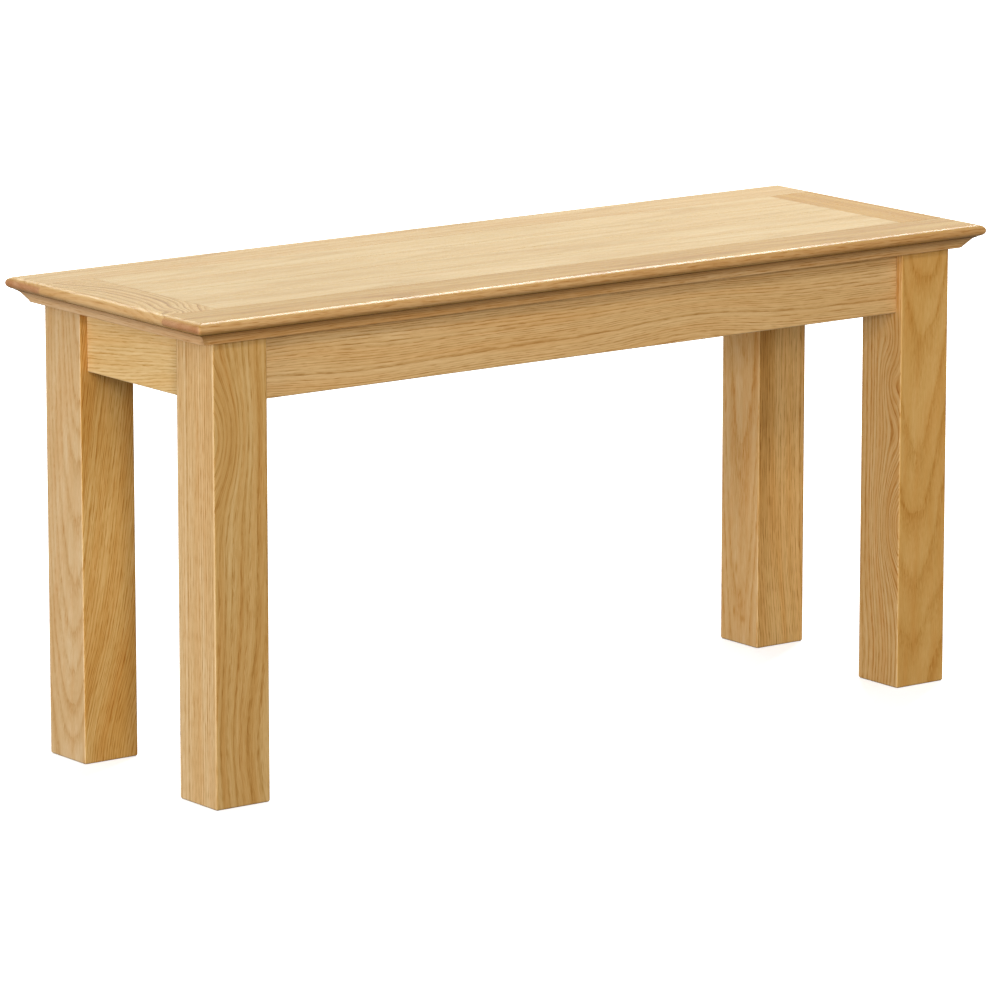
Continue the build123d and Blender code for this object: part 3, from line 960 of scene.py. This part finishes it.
# Front right: rings turn round a knot and swirl all over the side. The front face is broad and quiet.
dress_leg(
    "front_right",
    leg_face(
        "front_right", "left", "#CB9D60", (-120, 200, 20), ring=5.6, figure=0.85, warm=0.85,
        bends=(
            (60, 165, 26, 48, 48), (46, 305, 12, 26, 12), (56, 255, 12, 22, -6),
            (42, 350, 12, 22, -8), (30, 30, 40, 50, -8),
        ),
        stains=((50, 300, 12, 90, 0.12),),
    ),
    leg_face(
        "front_right", "front", "#C6924A", (25, 200, 60), lean=(0.02, -0.1), ring=7.0, figure=0.36,
        sway=6.0, bands=0.07, pores=0.25, stains=((20, 60, 30, 60, 0.08), (40, 300, 25, 60, -0.07)),
    ),
)
print("oaks of the legs:", how_many("lacquered"))

# %% [markdown]
# The aprons were ripped from straight boards, so their lines run the whole length, and only a bend or two
# breaks them. The mouldings are thin strips of plain, straight oak. The one on the left was cut from
# paler stock than the others.

# %% Oak of the aprons and mouldings
# The aprons' lower arrises are painted paler too, partly wear and partly a painted highlight.
front_skin = (0, -apron_outer_y, 0)
left_skin = (-apron_outer_x, 0, 0)
# Front apron: fine, even lines with small arches, a little greyer than the rest.
dress(aprons["front"], oak(
    "front apron", "#D0A56A", "front", front_skin, "across", (0, 230, 10),
    lean=(-0.008, 0), ring=2.7, figure=0.66, ripple=0.6, pores=0.42, bands=0.05, warm=0.6, worn_and_highlit=0.2,
    bends=((125, 396, 90, 30, -10), (-250, 380, 110, 30, 5)),
))
# Left apron: the palest, with lines that slope gently across it.
dress(aprons["left"], oak(
    "left apron", "#E2BB7D", "left", left_skin, "across", (0, 230, 10), lean=(0.1, 0),
    ring=3.4, figure=0.6, bands=0.06, ripple=0.6, pores=0.55, worn_and_highlit=0.2, bends=((80, 372, 60, 34, -9),),
))
# Back and right aprons: ordinary straight oak of a middle tone.
dress(aprons["back"], oak(
    "back apron", "#CFA364", "front", (0, apron_outer_y, 0), "across", (60, 250, 20),
    lean=(0.01, 0), ring=3.6, figure=0.7, worn_and_highlit=0.2,
))
dress(aprons["right"], oak(
    "right apron", "#CFA364", "left", (apron_outer_x, 0, 0), "across", (0, 480, 40),
    lean=(0.02, 0.02), ring=4.2, figure=0.6, worn_and_highlit=0.2,
))
# Mouldings: close, quiet lines, as a narrow strip shows them.
for word, strip in mouldings.items():
    side = "front" if word in ("front", "back") else "left"
    tone = "#D2A776" if word == "left" else "#BC8D55"
    low = corners(f"cove_moulding_{word}")[0]
    dress(strip, oak(
        f"{word} moulding", tone, side, low, "across", (0, -60, 50),
        ring=2.8, figure=0.45,
    ))
print("with the aprons and mouldings:", how_many("lacquered"))

# %% [markdown]
# The top is read from above, with its origin in the middle. The long rails and the staves run along the
# bench and the end rails across it, which is what makes the frame stand out from its panel. Every nosed
# board has a second tone for its nose.

# %% Oak of the top
plan = (0, 0, top_face)
# Long rails: straight, closely ringed and calm, the front one darker than the back one.
dress(boards["rail_front"], oak(
    "front rail", "#B68D44", "top", plan, "across", (0, -148, 85), lean=(0.006, 0.01),
    ring=3.4, figure=0.42, pores=0.35, routed="#B6844B",
))
dress(boards["rail_back"], oak(
    "back rail", "#C7A364", "top", plan, "across", (0, 152, 85), lean=(-0.006, 0.01),
    ring=3.4, figure=0.5, pores=0.3, routed="#BD8B51",
))
# Left end rail: the liveliest board, with wide, strong arcs round two knots.
dress(boards["rail_left"], oak(
    "left end rail", "#C9A563", "top", plan, "up", (-500, 0, 50),
    ring=6.5, figure=1.2, pores=0.25, routed="#CA9D65",
    bends=((-430, -118, 60, 52, 30), (-430, 118, 60, 52, 28), (-446, -92, 13, 16, -12)),
))
# Right end rail: the darkest and yellowest board of the top.
dress(boards["rail_right"], oak(
    "right end rail", "#B98B36", "top", plan, "up", (500, 0, 55),
    ring=5.0, figure=0.5, pores=0.25, routed="#BD8B51",
))
# Staves: pale, quiet boards, flat-sawn at four different places of their logs.
stave_piths = ((60, -88, 70), (-200, -30, 60), (120, 34, 58), (-60, 84, 75))
for index, pith in enumerate(stave_piths):
    dress(boards[f"stave_{index + 1}"], oak(
        f"stave {index + 1}", "#C9A96D", "top", plan, "across", pith,
        lean=(0.004, 0.02), ring=4.6, figure=0.26, pores=0.25,
    ))
print("all lacquered oaks:", how_many("lacquered"))

# %% [markdown]
# Underneath, the bearers and corner blocks are planed oak that never saw lacquer, so they are duller and
# a little greyer. They are plain boxes that keep the frame's own shape, so only their material is new.

# %% Bare oak
# Planed oak: rough to the light, so it stays matt and shows its lines without a highlight.
for node_name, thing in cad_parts.items():
    if node_name.startswith(("cross_bearer", "corner_block")) and "screws" not in node_name:
        low = corners(node_name)[0]
        grain = "up" if "block" in node_name else "across"
        dress(thing, oak(
            node_name.replace("_", " "), "#C9A878", "front", low, grain, (-90, 20, 30),
            ring=3.0, figure=0.45, finish=PLANED,
        ))
print("planed oaks:", how_many("planed"))

# %% [markdown]
# The screws are steel with a thin coat of zinc, whose spangles each turn the light their own way. A soft
# noise in roughness and grey is enough for that on a screw's head.

# %% Zinc plate
SPANGLES = (1.5 * MM, 1.5 * MM, 0.35, 0.65)
ZINC_GREYS = ("#AEB1B4", "#C9CCD0")
ZINC_ROUGHNESS = (0.28, 0.42)


def zinc_plate():
    """Zinc-plated steel: bluish grey metal, faintly mottled and half dull, by spangles of 1.5 mm."""
    material = bpy.data.materials.new("zinc-plated steel")
    tree = fresh_tree(material)
    place = node(tree, "TexCoord", {}, out="Object")
    spangle = marks(tree, place, SPANGLES, 0, 1)
    greys = {"Factor": spangle, 6: linear(ZINC_GREYS[0]), 7: linear(ZINC_GREYS[1])}
    grey = node(tree, "Mix", greys, data_type="RGBA", out=2)
    rough = {"Value": spangle, "To Min": ZINC_ROUGHNESS[0], "To Max": ZINC_ROUGHNESS[1]}
    rough = node(tree, "MapRange", rough)
    surface = {"Base Color": grey, "Metallic": 1.0, "Roughness": rough}
    node(tree, "OutputMaterial", {"Surface": node(tree, "BsdfPrincipled", surface)}, out=None)
    return material


# Zinc plate: a bluish, faintly mottled glint on the screw heads.
zinc = zinc_plate()
for node_name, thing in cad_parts.items():
    if "screws" in node_name:
        dress(thing, zinc)
print("metals:", how_many("zinc"))

# %% [markdown]
# The floor is one pale sheet of paper. Seen by the camera it glows a little, and more towards its far
# edge, so that it runs into the white world without a line, and it still takes the bench's shadow. The
# light that it sends back up is that of a greyer sheet, which keeps the undersides dark. A lit backdrop
# could do the same, but would need lamps of its own.

# %% Floor
WHITE = (1, 1, 1, 1)
FLOOR_REACH = 5.0
NEAR_GLOW = 0.5
FAR_GLOW = 0.9
GLOW_FROM = 0.8
GLOW_TO = 3.0
SEEN_GREY = "#F0F0F0"
BOUNCED_GREY = "#707070"
sheet_corners = [(x * FLOOR_REACH, y * FLOOR_REACH, 0) for x, y in ((-1, -1), (1, -1), (1, 1), (-1, 1))]
floor_mesh = bpy.data.meshes.new("floor")
floor_mesh.from_pydata(sheet_corners, [], [range(4)])
floor = bpy.data.objects.new("floor", floor_mesh)
bpy.context.scene.collection.objects.link(floor)
floor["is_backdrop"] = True
# White paper: matt, so it shows only the soft shadow of the bench.
paper = bpy.data.materials.new("white paper")
tree = fresh_tree(paper)
camera_ray = node(tree, "LightPath", {}, out="Is Camera Ray")
place = node(tree, "TexCoord", {}, out="Object")
away = node(tree, "VectorMath", {0: place}, operation="LENGTH", out="Value")
lift = {
    "Value": away, "From Min": GLOW_FROM, "From Max": GLOW_TO, "To Min": NEAR_GLOW, "To Max": FAR_GLOW,
}
lift = node(tree, "MapRange", lift, interpolation_type="SMOOTHSTEP")
glow = node(tree, "Emission", {"Color": WHITE, "Strength": lift})
matt = node(tree, "BsdfDiffuse", {"Color": linear(SEEN_GREY)})
dull = node(tree, "BsdfDiffuse", {"Color": linear(BOUNCED_GREY)})
bright = node(tree, "AddShader", {0: matt, 1: glow})
sheet = node(tree, "MixShader", {0: camera_ray, 1: dull, 2: bright})
node(tree, "OutputMaterial", {"Surface": sheet}, out=None)
dress(floor, paper)
print("floor:", 2 * FLOOR_REACH, "m wide")

# %% [markdown]
# The world is white where the camera sees it and where lacquer or zinc mirrors it. As a light it is kept
# low, so that the lamps give the bench its form.

# %% World
SKY_LIGHT = 0.35
world = bpy.data.worlds.new("studio")
bpy.context.scene.world = world
tree = fresh_tree(world)
rays = node(tree, "LightPath", {}, out=None)
seen = rays["Is Camera Ray"]
for ray in ("Is Glossy Ray", "Is Transmission Ray"):
    seen = node(tree, "Math", {0: seen, 1: rays[ray]}, operation="MAXIMUM")
strength = node(tree, "MapRange", {"Value": seen, "To Min": SKY_LIGHT, "To Max": 1.0})
sky = node(tree, "Background", {"Color": WHITE, "Strength": strength})
node(tree, "OutputWorld", {"Surface": sky}, out=None)
print("the world lights at", SKY_LIGHT, "and is seen at 1")

# %% [markdown]
# Five soft lamps model the bench. The key stands low on the left, so that the left side is lit right up
# to the lip. In front, one lamp stands a little higher and one well above it, so that the lip throws a
# shade on the front apron that is dark at its edge and then fades. These two shine through a polarising
# sheet, which keeps their glare off the lacquer. Two behind light the top, and draw a bright line along
# the upper curve of the nose. A sun lamp would throw hard shadows instead.


# %% Lamps
def softbox(name, place, aim, size, power, mirrored=True):
    """An area light at place that faces aim, with its width and height, all in metres, and power in W.

    One that isn't mirrored lights the wood, but the lacquer doesn't reflect it.
    """
    data = bpy.data.lights.new(name, "AREA")
    data.shape = "RECTANGLE"
    data.size, data.size_y = size
    data.energy = power
    lamp = bpy.data.objects.new(name, data)
    lamp.visible_glossy = mirrored
    lamp.location = place
    lamp.rotation_euler = (Vector(aim) - Vector(place)).to_track_quat("-Z", "Y").to_euler()
    bpy.context.scene.collection.objects.link(lamp)
    return lamp


lamps = [
    softbox("low light on the left", (-7.0, -1.0, 0.65), (0, 0, 0.25), (2.6, 1.0), 226),
    softbox("light in front", (-2.7, -5.8, 1.9), (0, 0, 0.3), (1.6, 1.6), 184, mirrored=False),
    softbox("high light in front", (-2.2, -4.6, 4.1), (0, 0, 0.3), (1.2, 1.2), 92, mirrored=False),
    softbox("light behind", (1.6, 4.7, 3.6), (-0.3, 0, 0.45), (2.0, 2.0), 60),
    softbox("light behind right", (3.4, 2.9, 4.2), (0, -0.1, 0.45), (2.0, 2.0), 300),
]
print("lamps:", len(lamps), "with", round(sum(lamp.data.energy for lamp in lamps)), "W together")

# %% [markdown]
# The camera stands well back with a long lens, a little above the seat and to the left. Two angles and a
# distance from the point it looks at are easier to change than three coordinates and a turn.

# %% Camera
azimuth = math.radians(-36.785)
elevation = math.radians(11.69)
distance = 6.343
aim = Vector((-0.0073, 0.0017, 0.2153))
camera_data = bpy.data.cameras.new("camera")
camera_data.sensor_width = 36.0
camera_data.lens = 236.06
camera = bpy.data.objects.new("camera", camera_data)
back = Vector((
    math.sin(azimuth) * math.cos(elevation),
    -math.cos(azimuth) * math.cos(elevation),
    math.sin(elevation),
))
camera.location = aim + back * distance
camera.rotation_mode = "QUATERNION"
camera.rotation_quaternion = (-back).to_track_quat("-Z", "Y")
bpy.context.scene.collection.objects.link(camera)
bpy.context.scene.camera = camera
bpy.context.scene.view_settings.view_transform = "Standard"
print("camera", distance, "m away")

# %% Size of the dressed bench
low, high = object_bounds()
